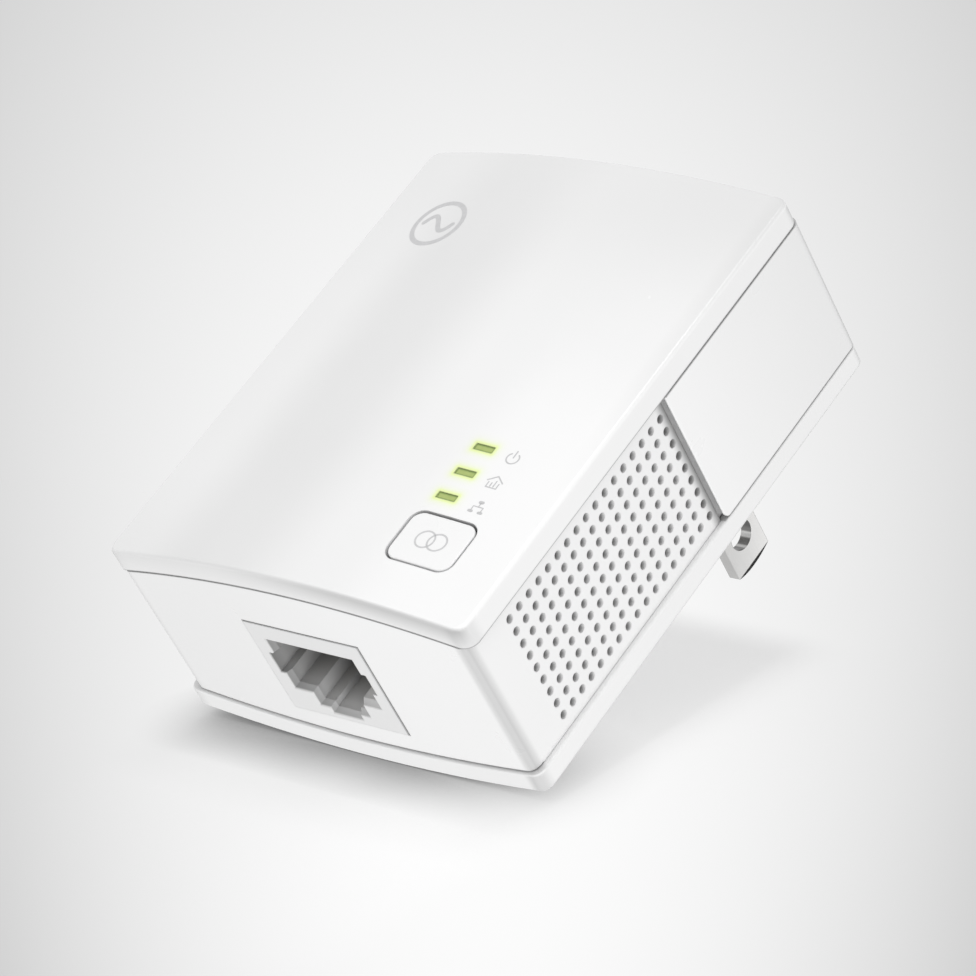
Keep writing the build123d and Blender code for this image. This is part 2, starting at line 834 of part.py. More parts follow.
save("transformer_core", transformer_core())
save("transformer_winding", transformer_winding())
save("transformer_base", transformer_base())
save("reservoir_capacitor_a", capacitor(9.6, board_d0 - 4.4, -6.4, 5.6, radius=4.0))
save("reservoir_capacitor_b", capacitor(18.3, board_d0 - 4.4, -6.4, 5.6, radius=4.0))
save("output_capacitor", capacitor(17.8, board_d0 - 3.5, -21.7, -12.9, radius=3.15))
save("suppression_capacitor", suppression_capacitor())
save("surge_absorber", surge_absorber())
save("mains_fuse", mains_fuse())
save("bridge_rectifier", bridge_rectifier())
save("choke_core", choke_core())
save("choke_windings", *choke_turns())
save("signal_coupler", signal_coupler())
save("network_isolator", network_isolator())

save("modem_chip", modem_chip())
save("thermal_pad", thermal_pad())
save("heat_sink", heat_sink())
save("memory_chip", leaded_chip(-6.0, 10.0, 8.0, 12.5, height=1.0, lead_count=8, pitch=1.3))
save("flash_chip", small_chip(7.0))
save("power_controller", small_chip(17.0))
save("crystal", crystal())
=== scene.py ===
import math

import bmesh
import bpy
from mathutils import Matrix, Vector


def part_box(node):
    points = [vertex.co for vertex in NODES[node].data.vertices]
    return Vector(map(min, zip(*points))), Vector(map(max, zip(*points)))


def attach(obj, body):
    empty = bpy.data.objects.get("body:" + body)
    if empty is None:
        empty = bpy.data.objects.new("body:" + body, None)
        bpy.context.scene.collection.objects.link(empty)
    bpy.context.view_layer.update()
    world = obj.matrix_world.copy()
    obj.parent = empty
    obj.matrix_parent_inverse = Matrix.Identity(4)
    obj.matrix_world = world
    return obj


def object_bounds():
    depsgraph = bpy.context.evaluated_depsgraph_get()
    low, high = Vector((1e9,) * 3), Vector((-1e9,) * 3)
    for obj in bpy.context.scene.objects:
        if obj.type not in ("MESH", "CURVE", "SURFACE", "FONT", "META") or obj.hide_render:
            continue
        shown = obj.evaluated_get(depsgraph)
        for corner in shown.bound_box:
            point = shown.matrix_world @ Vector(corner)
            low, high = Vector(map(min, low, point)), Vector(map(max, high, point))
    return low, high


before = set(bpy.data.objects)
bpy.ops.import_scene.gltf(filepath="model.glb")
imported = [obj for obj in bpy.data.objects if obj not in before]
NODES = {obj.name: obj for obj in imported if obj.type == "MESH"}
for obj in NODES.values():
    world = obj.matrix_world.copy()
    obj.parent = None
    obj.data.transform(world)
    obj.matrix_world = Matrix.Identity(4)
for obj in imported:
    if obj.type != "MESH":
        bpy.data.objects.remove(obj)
CAD_LO, CAD_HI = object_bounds()
MM = 0.001


def mm(*lengths):
    return tuple(length * MM for length in lengths)


# ------------------------------------------------------------------ the case
# Both covers are crowned across the width, as arcs that drop by a sag at the sides.
COVER_LO, COVER_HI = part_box("front_cover")
BACK_LO, BACK_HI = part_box("back_cover")
HALF_W = (COVER_HI.x - COVER_LO.x) / 2
MID_X = (COVER_HI.x + COVER_LO.x) / 2
MID_Z = (COVER_HI.z + COVER_LO.z) / 2
FRONT_Y = COVER_LO.y
BACK_Y = BACK_HI.y
FRONT_SAG = 2.2 * MM
BACK_SAG = 1.9 * MM
FRONT_R = (HALF_W**2 + FRONT_SAG**2) / (2 * FRONT_SAG)
BACK_R = (HALF_W**2 + BACK_SAG**2) / (2 * BACK_SAG)

LOW_END = COVER_LO.z  # low end of the front cover and of the housing
VENT_X = HALF_W - 0.83 * MM  # outer face of the perforated walls
PANEL_Z = -16.0 * MM  # free edge of the raised side panels, which run on to +Z
BLADE_HOLE_Y = 11.95 * MM  # axis of the hole in each blade, at z = 0

WINDOWS = ("light_pipe_power", "light_pipe_powerline", "light_pipe_network")


def front_y(x):
    """Y of the crowned front at x."""
    off_axis = x - MID_X
    return FRONT_Y + FRONT_R - math.sqrt(max(FRONT_R**2 - off_axis * off_axis, 0.0))


def footprint(node):
    """Middle x and z, then half width and half length, of a part seen from the front."""
    lo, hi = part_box(node)
    return (lo.x + hi.x) / 2, (lo.z + hi.z) / 2, (hi.x - lo.x) / 2, (hi.z - lo.z) / 2


# --------------------------------------------------------------- node graphs
def operation(kind, swapped=False):
    """A Python operator that adds a Math node of this kind."""

    def apply(self, other):
        operands = (other, self) if swapped else (self, other)
        return self.graph.math(kind, *operands)

    return apply


class Value:
    """An output socket. Arithmetic on it adds Math nodes to its graph."""

    def __init__(self, graph, socket):
        self.graph = graph
        self.socket = socket

    __add__ = operation("ADD")
    __radd__ = operation("ADD", swapped=True)
    __sub__ = operation("SUBTRACT")
    __rsub__ = operation("SUBTRACT", swapped=True)
    __mul__ = operation("MULTIPLY")
    __pow__ = operation("POWER")
    __rpow__ = operation("POWER", swapped=True)

    def __abs__(self):
        return self.graph.math("ABSOLUTE", self)

    def ramp(self, over, to=(0.0, 1.0), smooth=False):
        """Map the range `over` onto the range `to`, clamped at both ends."""
        inputs = {
            "Value": self,
            "From Min": over[0],
            "From Max": over[1],
            "To Min": to[0],
            "To Max": to[1],
        }
        kind = "SMOOTHSTEP" if smooth else "LINEAR"
        return self.graph.value("MapRange", inputs, output="Result", interpolation_type=kind)


def larger(first, second):
    return first.graph.math("MAXIMUM", first, second)


def smaller(first, second):
    return first.graph.math("MINIMUM", first, second)


def hypot(first, second):
    return first.graph.math("SQRT", first * first + second * second)


class Graph:
    """A node tree written top to bottom."""

    def __init__(self, tree):
        self.tree = tree
        tree.nodes.clear()

    def put(self, socket, value):
        if isinstance(value, Value):
            value = value.socket
        if isinstance(value, bpy.types.NodeSocket):
            self.tree.links.new(value, socket)
        elif isinstance(value, tuple) and socket.type == "RGBA":
            socket.default_value = (*value, 1.0)
        else:
            socket.default_value = value

    def add(self, kind, inputs=None, **props):
        """A new node, with its inputs given by name or index."""
        node = self.tree.nodes.new("ShaderNode" + kind)
        for name, value in props.items():
            setattr(node, name, value)
        for key, value in (inputs or {}).items():
            self.put(node.inputs[key], value)
        return node

    def value(self, kind, inputs=None, output=0, **props):
        return Value(self, self.add(kind, inputs, **props).outputs[output])

    def math(self, kind, *operands):
        return self.value("Math", dict(enumerate(operands)), operation=kind)

    def coords(self, output):
        return self.value("TexCoord", output=output)

    def split(self, vector):
        parts = self.add("SeparateXYZ", {0: vector})
        return [Value(self, socket) for socket in parts.outputs]

    def dot(self, first, second):
        inputs = {0: first, 1: second}
        return self.value("VectorMath", inputs, output="Value", operation="DOT_PRODUCT")

    def openness(self, distance, samples):
        """1 in the open, 0 in creases."""
        inputs = {"Distance": distance}
        return self.value("AmbientOcclusion", inputs, output="AO", samples=samples)

    def mix_shader(self, factor, first, second):
        return self.value("MixShader", {0: factor, 1: first, 2: second})


class Mat(Graph):
    """A material with one Principled shader."""

    SOCKETS = {
        "color": "Base Color",
        "rough": "Roughness",
        "metal": "Metallic",
        "normal": "Normal",
        "coat": "Coat Weight",
        "coat_rough": "Coat Roughness",
        "spec": "Specular IOR Level",
        "glow": "Emission Color",
        "glow_power": "Emission Strength",
    }

    def __init__(self, name):
        self.material = bpy.data.materials.new(name)
        self.material.use_nodes = True
        super().__init__(self.material.node_tree)
        self.point = self.coords("Object")

    def at(self):
        """x, y and z of the point being shaded, in the part's frame."""
        return self.split(self.point)

    def facing(self):
        return self.split(self.value("NewGeometry", output="Normal"))

    def stretched(self, scale):
        return self.value("Mapping", {"Vector": self.point, "Scale": scale})

    def noise(self, scale, detail=2.0, rough=0.5, vector=None, seed=0.0):
        inputs = {
            "Vector": vector or self.point,
            "Scale": scale,
            "Detail": detail,
            "Roughness": rough,
            "W": seed,
        }
        return self.value("TexNoise", inputs, output="Fac", noise_dimensions="4D")

    def mix(self, factor, first, second, blend="MIX"):
        inputs = {0: factor, 6: first, 7: second}
        return self.value("Mix", inputs, output=2, data_type="RGBA", blend_type=blend)

    def mottle(self, noise, low, high, over=(0.3, 0.7)):
        """Two colours laid out by a noise."""
        return self.mix(noise.ramp(over=over), low, high)

    def darken(self, color, factor):
        grey = self.value("CombineXYZ", {0: factor, 1: factor, 2: factor})
        return self.mix(1.0, color, grey, blend="MULTIPLY")

    def bump(self, height, strength, distance, normal=None):
        inputs = {"Strength": strength, "Distance": distance, "Height": height}
        if normal is not None:
            inputs["Normal"] = normal
        return self.value("Bump", inputs)

    def bevel(self, radius):
        return self.value("Bevel", {"Radius": radius}, samples=4)

    def edges(self, rounded):
        """1 on convex or concave edges, 0 on faces."""
        true_normal = self.value("NewGeometry", output="Normal")
        return (1.0 - self.dot(rounded, true_normal)).ramp(over=(0.02, 0.25))

    def surface(self, **settings):
        inputs = {self.SOCKETS[key]: value for key, value in settings.items()}
        self.add("OutputMaterial", {0: self.value("BsdfPrincipled", inputs)})
        return self.material


def scaled(color, factor, lift=0.0):
    return tuple(min(1.0, part * factor + lift) for part in color)


# ----------------------------------------------- shades: factors laid by place
def vent_bore_shade(mat):
    """Painted shade in the bores of the vents, deepening inwards; the two ends of the housing
    stay light.
    """
    x, _, z = mat.at()
    lo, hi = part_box("mid_housing")
    side = abs(x)
    bore = side.ramp(over=(VENT_X - 1.2 * MM, VENT_X - 0.08 * MM), to=(0.26, 1.0))
    skin = side.ramp(over=(VENT_X - 0.09 * MM, VENT_X - 0.02 * MM))
    low = z.ramp(over=(lo.z + 0.0004, lo.z + 0.0020), to=(1.0, 0.07))
    top = z.ramp(over=(hi.z - 0.0016, hi.z - 0.0004), to=(0.07, 1.0))
    return larger(larger(bore, skin), larger(low, top))


def step_slot(mat):
    """The slot under the free edge of each raised panel, and the wall beside it, in shadow."""
    x, _, z = mat.at()
    side = abs(x)
    wall = z.ramp(over=(PANEL_Z - 1.70 * MM, PANEL_Z - 0.05 * MM), to=(1.0, 0.32), smooth=True)
    inside = z.ramp(over=(PANEL_Z - 0.02 * MM, PANEL_Z + 0.04 * MM), to=(0.0, 0.95))
    past = z.ramp(over=(PANEL_Z + 1.05 * MM, PANEL_Z + 1.25 * MM))
    wall = larger(wall, larger(inside, past))
    # the shadow lifts again out towards the panel's face
    rise = side.ramp(over=(VENT_X + 0.10 * MM, HALF_W - 0.02 * MM)) ** 1.6
    return wall + (1.0 - wall) * rise


def depth_below(mat, radius, axis_y):
    """How deep the point lies under a crown of this radius and axis."""
    x, y, _ = mat.at()
    return radius - hypot(x - MID_X, y - axis_y)


def depth_below_front(mat):
    return depth_below(mat, radius=FRONT_R, axis_y=FRONT_Y + FRONT_R)


def front_seam(mat):
    """Shade along the parting line between the front cover and the housing."""
    off = abs(depth_below_front(mat) - 2.925 * MM)
    return off.ramp(over=mm(0.12, 0.25), to=(0.62, 1.0), smooth=True)


def back_seam(mat):
    """Shade along the parting line of the back cover, beside the panels and at the low end."""
    _, _, z = mat.at()
    off = abs(depth_below(mat, radius=BACK_R, axis_y=BACK_Y - BACK_R) - 2.725 * MM)
    line = off.ramp(over=mm(0.09, 0.18), to=(0.20, 0.0), smooth=True)
    panels = z.ramp(over=mm(-16.3, -16.1), to=(0.0, 2.3))
    end = z.ramp(over=(LOW_END + 0.8 * MM, LOW_END + 1.4 * MM), to=(1.0, 0.0))
    return 1.0 - line * larger(panels, end)


def low_corner(side_x, end_z, near, far, amount):
    """A shade for the corners of the low end that run front to back, stronger to the right."""

    def shade(mat):
        x, _, z = mat.at()
        _, normal_y, _ = mat.facing()
        away = hypot(abs(x) - side_x, z - end_z)
        wall = abs(normal_y).ramp(over=(0.30, 0.75), to=(1.0, 0.0))
        dark = away.ramp(over=(near, far), to=(amount, 0.0), smooth=True) * wall
        return 1.0 - dark * x.ramp(over=mm(-20, 20), to=(0.30, 1.0))

    return shade


def jack_shade(mat):
    """Painted shade in the socket's cavity: dimmed from its mouth on, darker inwards and to
    the left.
    """
    x, y, z = mat.at()
    lo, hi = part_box("socket_housing")
    face = z.ramp(over=(lo.z + 0.00006, lo.z + 0.00030), to=(1.0, 0.0))
    mouth = z.ramp(over=(lo.z + 0.0002, lo.z + 0.0014), to=(0.60, 0.86))
    inside = mouth * z.ramp(over=(lo.z + 0.0018, lo.z + 0.0070), to=(1.0, 0.26))
    inside = inside * x.ramp(over=(lo.x + 0.0030, hi.x - 0.0030), to=(0.60, 1.22))
    depth = larger(face, inside)
    # painted shadow of the gap round the socket, along its front and right edges
    front_gap_shade = y.ramp(over=(lo.y + 0.03 * MM, lo.y + 0.12 * MM), to=(0.06, 0.0))
    right_gap_shade = x.ramp(over=(hi.x - 0.15 * MM, hi.x - 0.04 * MM), to=(0.0, 0.32))
    return depth * (1.0 - larger(front_gap_shade, right_gap_shade))


def lower_edge_shade(mat):
    """The low end of the front cover darkens under its front edge, more to the right."""
    x, _, _ = mat.at()
    _, _, normal_z = mat.facing()
    band = depth_below_front(mat).ramp(over=mm(0.4, 2.75), to=(1.0, 0.0))
    band = band * normal_z.ramp(over=(-0.30, -0.80))
    return 1.0 - band * x.ramp(over=mm(-12, 15), to=(0.08, 0.34), smooth=True)


def far_corner_shade(mat):
    """The front falls off a little towards its upper right corner."""
    x, _, z = mat.at()
    _, normal_y, _ = mat.facing()
    fall = z.ramp(over=mm(-12, 10), smooth=True)
    fall = fall * x.ramp(over=mm(-6, 24), to=(0.30, 1.0), smooth=True)
    fall = fall * normal_y.ramp(over=(-0.35, -0.75), to=(0.25, 1.0))
    return 1.0 - fall * 0.10


def front_grade(mat):
    """Broad, faint grades across the crowned front, as a large soft light and flags leave."""
    x, _, z = mat.at()
    band = x.ramp(over=mm(-21, -11), smooth=True)
    band = band * x.ramp(over=mm(-7, 5), to=(1.0, 0.0), smooth=True)
    band = band * z.ramp(over=mm(-6, 11), to=(0.095, 0.045))
    low = z.ramp(over=mm(-40, -53), to=(0.0, 0.045)) * x.ramp(over=mm(-8, -20), smooth=True)
    edge = x.ramp(over=mm(23.5, 25.4), to=(0.0, 0.05)) * z.ramp(over=mm(-36, -16))
    bright = x.ramp(over=mm(8, 16), to=(0.0, 0.045), smooth=True) * z.ramp(over=mm(-12, -24))
    dark = band + low + edge
    _, normal_y, _ = mat.facing()
    return 1.0 + (bright - dark) * normal_y.ramp(over=(-0.35, -0.75))


def housing_light_grade(mat):
    """Painted light and shade: the raised panels are palest near their free edge; the low end
    pales to the right.
    """
    x, _, z = mat.at()
    _, _, normal_z = mat.facing()
    panel = abs(x).ramp(over=(VENT_X + 0.40 * MM, VENT_X + 0.60 * MM))
    panel = panel * z.ramp(over=(PANEL_Z + 2 * MM, 11 * MM), to=(0.035, -0.062))
    end = normal_z.ramp(over=(-0.90, -0.97))
    end = end * x.ramp(over=mm(-14, 12), to=(0.018, 0.062), smooth=True)
    return 1.0 + (panel + end)


def blade_shade(mat):
    """Painted light on a blade: its flat is brightest towards +Z; its hole is painted dark
    with two painted bright streaks of reflection.
    """
    _, y, z = mat.at()
    normal_x, _, _ = mat.facing()
    hole_y = y - BLADE_HOLE_Y
    radius = hypot(hole_y, z)
    turn = mat.math("ARCTAN2", z, hole_y)
    # painted reflections: two bright streaks in the dark bore
    wide = abs(turn - 0.75).ramp(over=(0.10, 0.26), to=(0.80, 0.24), smooth=True)
    narrow = abs(turn - -0.06).ramp(over=(0.06, 0.18), to=(0.55, 0.24), smooth=True)
    flat = abs(normal_x).ramp(over=(0.5, 0.8))
    in_bore = radius.ramp(over=mm(1.93, 1.97), to=(1.0, 0.0)) * (1.0 - flat)
    grade = z.ramp(over=mm(-3.2, 3.2), to=(0.82, 1.0))
    face = flat * grade + (1.0 - flat)
    return in_bore * larger(wide, narrow) + (1.0 - in_bore) * face


def window_halo_light(mat):
    """Painted light: a yellow-green halo where the lamps' light soaks into the cover; its
    colour and amount.
    """
    x, y, z = mat.at()
    nearest = None
    for window in WINDOWS:
        mid_x, mid_z, half_x, half_z = footprint(window)
        beside = larger(abs(x - mid_x) - half_x, 0.0)
        beyond = larger(abs(z - mid_z) - half_z, 0.0)
        away = hypot(beside, beyond)
        nearest = away if nearest is None else smaller(nearest, away)
    reach = 0.33 * MM  # distance over which the halo falls by e
    halo = smaller(2.718 ** (nearest * (-1.0 / reach)) * 1.9, 0.88)
    # only the outer skin is lit
    skin = y.ramp(over=(FRONT_Y + 4.2 * MM, FRONT_Y + 2.2 * MM))
    rim = nearest.ramp(over=mm(0.03, 0.16))
    return mat.mix(rim, (0.46, 0.54, 0.20), (0.80, 0.92, 0.36)), halo * skin


def inset(x, z, node):
    """How far inside the footprint of a part the point lies."""
    mid_x, mid_z, half_x, half_z = footprint(node)
    return smaller(half_x - abs(x - mid_x), half_z - abs(z - mid_z))


# ----------------------------------------------------------------- materials
def shell_plastic(
    name, base, rough, grain, coat, seed=0.0, painted_light=None, shades=(), edge_shade_grey=0.80, rim=0.10
):
    """Moulded white plastic: spark-eroded grain, faint flow, softened edges, painted shade at
    edges and seams.

    edge_shade_grey is the grey of painted shade on sharp edges and rim how much of it shows,
    tint gives a colour laid over the plastic with its amount, as painted light, and shades are
    factors that paint shade and light on it by place.
    """
    mat = Mat(name)
    soft = mat.bevel(radius=0.00016)
    edge = mat.edges(soft)
    flow = mat.noise(scale=38.0, detail=3.0, rough=0.55, seed=seed)
    fine = mat.noise(scale=5200.0, rough=0.6, seed=seed + 3)
    smear = mat.noise(scale=120.0, detail=4.0, rough=0.65, seed=seed + 7)
    color = mat.mottle(flow, scaled(base, 0.982), scaled(base, 1.008), over=(0.25, 0.75))
    # painted shade along sharp edges, towards edge_shade_grey by rim
    color = mat.mix(edge.ramp(over=(0, 1), to=(0.0, rim)), color, (edge_shade_grey,) * 3)
    # painted shade in seams and creases, laid by a short occlusion test
    crease = 1.0 - mat.openness(distance=0.0009, samples=6)
    crease_shade = crease.ramp(over=(0.35, 0.95), to=(0.0, 0.45))
    color = mat.mix(crease_shade, color, (0.50, 0.50, 0.51))
    # painted light laid over the colour, such as the lamps' halo
    if painted_light is not None:
        hue, amount = painted_light(mat)
        color = mat.mix(amount, color, hue)
    if shades:
        total = shades[0](mat)
        for shade in shades[1:]:
            total = total * shade(mat)
        color = mat.darken(color, total)
    smeared = smear.ramp(over=(0.2, 0.8), to=(rough - 0.05, rough + 0.05))
    return mat.surface(
        color=color,
        rough=smeared + edge.ramp(over=(0, 1), to=(0.0, 0.10)),
        normal=mat.bump(fine, strength=grain, distance=0.000006, normal=soft),
        spec=0.42,
        coat=coat,
        coat_rough=0.22,
    )


def metal(name, base, rough, streak, seed=0.0, grain=0.08, shade=None):
    """Plated or stamped metal; streak is the noise scale along X, Y and Z."""
    mat = Mat(name)
    soft = mat.bevel(radius=0.00012)
    edge = mat.edges(soft)
    lines = mat.noise(
        scale=1.0, detail=4.0, rough=0.6, vector=mat.stretched(streak), seed=seed
    )
    cloud = mat.noise(scale=210.0, detail=3.0, seed=seed + 2)
    color = mat.mottle(cloud, scaled(base, 0.90), base)
    color = mat.mix(edge * 0.25, color, scaled(base, 1.15))
    if shade is not None:
        color = mat.darken(color, shade(mat))
    scratched = lines.ramp(over=(0.3, 0.7), to=(rough - 0.06, rough + 0.08))
    return mat.surface(
        color=color,
        metal=1.0,
        rough=scratched + cloud.ramp(over=(0.3, 0.7), to=(-0.02, 0.04)),
        normal=mat.bump(lines, strength=grain, distance=0.00001, normal=soft),
    )


def plain_plastic(name, base, rough, grain, seed, vary=0.08, spec=0.45):
    """Uncoated plastic or epoxy; vary is how far its colour strays from the base."""
    mat = Mat(name)
    soft = mat.bevel(radius=0.00008)
    edge = mat.edges(soft)
    flow = mat.noise(scale=260.0, detail=3.0, rough=0.6, seed=seed)
    fine = mat.noise(scale=4200.0, rough=0.6, seed=seed + 1)
    color = mat.mottle(flow, scaled(base, 1 - vary), scaled(base, 1 + vary))
    return mat.surface(
        color=mat.mix(edge * 0.25, color, scaled(base, 1.3, lift=0.03)),
        rough=flow.ramp(over=(0.3, 0.7), to=(rough - 0.05, rough + 0.07)),
        normal=mat.bump(fine, strength=grain, distance=0.00001, normal=soft),
        spec=spec,
    )


def board_material():
    """Green laminate with its weave showing."""
    mat = Mat("board_laminate")
    weave = mat.value(
        "TexBrick",
        {
            "Vector": mat.stretched((1500.0, 1500.0, 1500.0)),
            "Color1": (0.020, 0.165, 0.075),
            "Color2": (0.028, 0.205, 0.095),
            "Mortar": (0.012, 0.110, 0.050),
        },
    )
    flow = mat.noise(scale=160.0, detail=3.0, rough=0.6)
    return mat.surface(
        color=mat.mix(flow.ramp(over=(0.3, 0.7), to=(0.0, 0.35)), weave, (0.05, 0.30, 0.14)),
        rough=0.32,
        coat=0.4,
        coat_rough=0.15,
        normal=mat.bump(flow, strength=0.15, distance=0.00003),
    )


def pipe_material():
    """Frosted light pipe, lit from behind: bright in the middle, darker green at its edge."""
    mat = Mat("light_pipe_lit")
    x, _, z = mat.at()
    inside = None
    for window in WINDOWS:
        depth = inset(x, z, window)
        inside = depth if inside is None else larger(inside, depth)
    core = inside.ramp(over=(0.00003, 0.00024), smooth=True)
    grain = mat.noise(scale=2600.0, detail=3.0, rough=0.6)
    speck = grain.ramp(over=(0.35, 0.75), to=(0.0, 0.30))
    glow = mat.mix(core, (0.10, 0.135, 0.035), (0.315, 0.350, 0.110))
    return mat.surface(
        color=(0.10, 0.16, 0.04),
        rough=0.25,
        glow=mat.mix(speck, glow, (0.44, 0.49, 0.19)),
        glow_power=0.92,
        spec=0.5,
        normal=mat.bump(grain, strength=0.2, distance=0.00002),
    )


def lamp_material():
    mat = Mat("lamp_lit")
    grain = mat.noise(scale=900.0)
    return mat.surface(
        color=(0.7, 0.75, 0.5),
        rough=0.3,
        glow=mat.mottle(grain, (0.45, 0.85, 0.12), (0.60, 1.0, 0.20)),
        glow_power=2.0,
    )


def ink_material(name, value):
    """Pad-printed grey ink, a touch uneven."""
    mat = Mat(name)
    patch = mat.noise(scale=1800.0, detail=3.0, rough=0.65)
    dots = mat.noise(scale=9000.0, detail=1.0, seed=4)
    base = (value, value, value * 1.01)
    return mat.surface(
        color=mat.mottle(patch, scaled(base, 0.95), scaled(base, 1.05)),
        rough=patch.ramp(over=(0.3, 0.7), to=(0.38, 0.48)),
        normal=mat.bump(dots, strength=0.2, distance=0.000004),
    )


def film_material():
    """Blank silver-grey label film with a faint brushed grain and a printed border."""
    mat = Mat("label_film")
    x, _, z = mat.at()
    depth = inset(x, z, "rating_label")
    line = depth.ramp(over=(0.00105, 0.00110))
    line = line * depth.ramp(over=(0.00125, 0.00130), to=(1.0, 0.0))
    brushed = mat.stretched((120.0, 900.0, 5200.0))
    grain = mat.noise(scale=1.0, detail=3.0, rough=0.6, vector=brushed)
    color = mat.mottle(grain, (0.66, 0.665, 0.675), (0.74, 0.745, 0.75))
    return mat.surface(
        color=mat.mix(line, color, (0.40, 0.40, 0.41)),
        metal=0.25,
        rough=grain.ramp(over=(0.3, 0.7), to=(0.34, 0.48)),
        normal=mat.bump(grain, strength=0.12, distance=0.000006),
    )


def can_material():
    """Dark blue sleeve of the capacitors."""
    mat = Mat("capacitor_sleeve")
    flow = mat.noise(scale=300.0, detail=3.0, rough=0.6)
    soft = mat.bevel(radius=0.0002)
    return mat.surface(
        color=mat.mottle(flow, (0.016, 0.022, 0.055), (0.028, 0.036, 0.080)),
        rough=flow.ramp(over=(0.3, 0.7), to=(0.22, 0.34)),
        normal=mat.bump(flow, strength=0.1, distance=0.00004, normal=soft),
    )


WHITE = (0.885, 0.885, 0.885)
HOUSING_CORNER = low_corner(
    side_x=VENT_X - 0.08 * MM, end_z=LOW_END, near=0.50 * MM, far=1.7 * MM, amount=0.33
)
FRONT_CORNER = low_corner(
    side_x=HALF_W, end_z=LOW_END, near=0.7 * MM, far=3.0 * MM, amount=0.19
)
BACK_CORNER = low_corner(
    side_x=HALF_W - 0.7 * MM, end_z=BACK_LO.z, near=0.5 * MM, far=1.9 * MM, amount=0.30
)

LOOKS = {
    "case": shell_plastic(
        "case_white",
        base=WHITE,
        rough=0.30,
        grain=0.35,
        coat=0.15,
        shades=(housing_light_grade, vent_bore_shade, step_slot, front_seam, back_seam, HOUSING_CORNER),
    ),
    "front": shell_plastic(
        "front_white",
        base=WHITE,
        rough=0.24,
        grain=0.22,
        coat=0.25,
        seed=1.0,
        painted_light=window_halo_light,
        shades=(lower_edge_shade, far_corner_shade, front_grade, front_seam, FRONT_CORNER),
        # dark painted shade along the window openings and other sharp edges
        edge_shade_grey=0.45,
        rim=0.45,
    ),
    "back": shell_plastic(
        "back_white",
        base=WHITE,
        rough=0.36,
        grain=0.7,
        coat=0.05,
        seed=2.0,
        shades=(back_seam, BACK_CORNER),
    ),
    "button": shell_plastic(
        "button_white",
        base=(0.915, 0.915, 0.915),
        rough=0.27,
        grain=0.22,
        coat=0.2,
        seed=5.0,
        # dark painted shade round the button's edge, where its gap lies
        edge_shade_grey=0.46,
        rim=0.46,
    ),
    "plug": shell_plastic(
        "plug_white", base=(0.84, 0.84, 0.835), rough=0.34, grain=0.5, coat=0.05, seed=6.0
    ),
    "blade": metal(
        "blade_nickel",
        base=(0.94, 0.935, 0.925),
        rough=0.20,
        streak=(2400.0, 90.0, 2400.0),
        shade=blade_shade,
    ),
    "socket": shell_plastic(
        "socket_plastic",
        base=(0.81, 0.81, 0.81),
        rough=0.38,
        grain=0.4,
        coat=0.0,
        seed=8.0,
        shades=(jack_shade,),
    ),
    "gold": metal(
        "contact_gold",
        base=(0.90, 0.68, 0.28),
        rough=0.16,
        streak=(3000.0, 3000.0, 120.0),
        seed=1.0,
    ),
    "brass": metal(
        "terminal_brass",
        base=(0.80, 0.64, 0.34),
        rough=0.26,
        streak=(1500.0, 150.0, 1500.0),
        seed=2.0,
    ),
    "screw": metal(
        "screw_steel",
        base=(0.50, 0.50, 0.51),
        rough=0.30,
        streak=(1300.0, 1300.0, 1300.0),
        seed=3.0,
        grain=0.15,
    ),
    "sink": metal(
        "sink_aluminium",
        base=(0.74, 0.75, 0.76),
        rough=0.34,
        streak=(1500.0, 1500.0, 70.0),
        seed=4.0,
        grain=0.2,
    ),
    "can_steel": metal(
        "crystal_can",
        base=(0.68, 0.69, 0.70),
        rough=0.24,
        streak=(700.0, 700.0, 3000.0),
        seed=5.0,
    ),
    "copper": metal(
        "winding_copper",
        base=(0.86, 0.40, 0.20),
        rough=0.22,
        streak=(1200.0, 1200.0, 1200.0),
        seed=6.0,
    ),
    "film": film_material(),
    "board": board_material(),
    "chip": plain_plastic(
        "chip_epoxy",
        base=(0.022, 0.022, 0.024),
        rough=0.52,
        grain=0.5,
        seed=1.0,
        vary=0.2,
        spec=0.35,
    ),
    "pad": plain_plastic(
        "thermal_pad_blue", base=(0.36, 0.45, 0.56), rough=0.65, grain=0.8, seed=2.0
    ),
    "ferrite": plain_plastic(
        "ferrite_grey",
        base=(0.060, 0.060, 0.066),
        rough=0.58,
        grain=0.9,
        seed=3.0,
        vary=0.2,
        spec=0.3,
    ),
    "tape": plain_plastic(
        "winding_tape", base=(0.72, 0.52, 0.07), rough=0.34, grain=0.2, seed=4.0
    ),
    "black": plain_plastic(
        "bobbin_black", base=(0.030, 0.030, 0.030), rough=0.46, grain=0.4, seed=5.0, vary=0.15
    ),
    "film_box": plain_plastic(
        "film_capacitor_yellow", base=(0.72, 0.52, 0.05), rough=0.30, grain=0.2, seed=6.0
    ),
    "disc": plain_plastic(
        "absorber_blue", base=(0.045, 0.14, 0.42), rough=0.28, grain=0.2, seed=7.0
    ),
    "fuse": plain_plastic(
        "fuse_brown", base=(0.14, 0.065, 0.035), rough=0.42, grain=0.3, seed=8.0
    ),
    "can": can_material(),
    "pipe": pipe_material(),
    "lamp": lamp_material(),
    "ink": ink_material("ink_grey", value=0.56),
    "ink_pale": ink_material("ink_pale_grey", value=0.60),
}

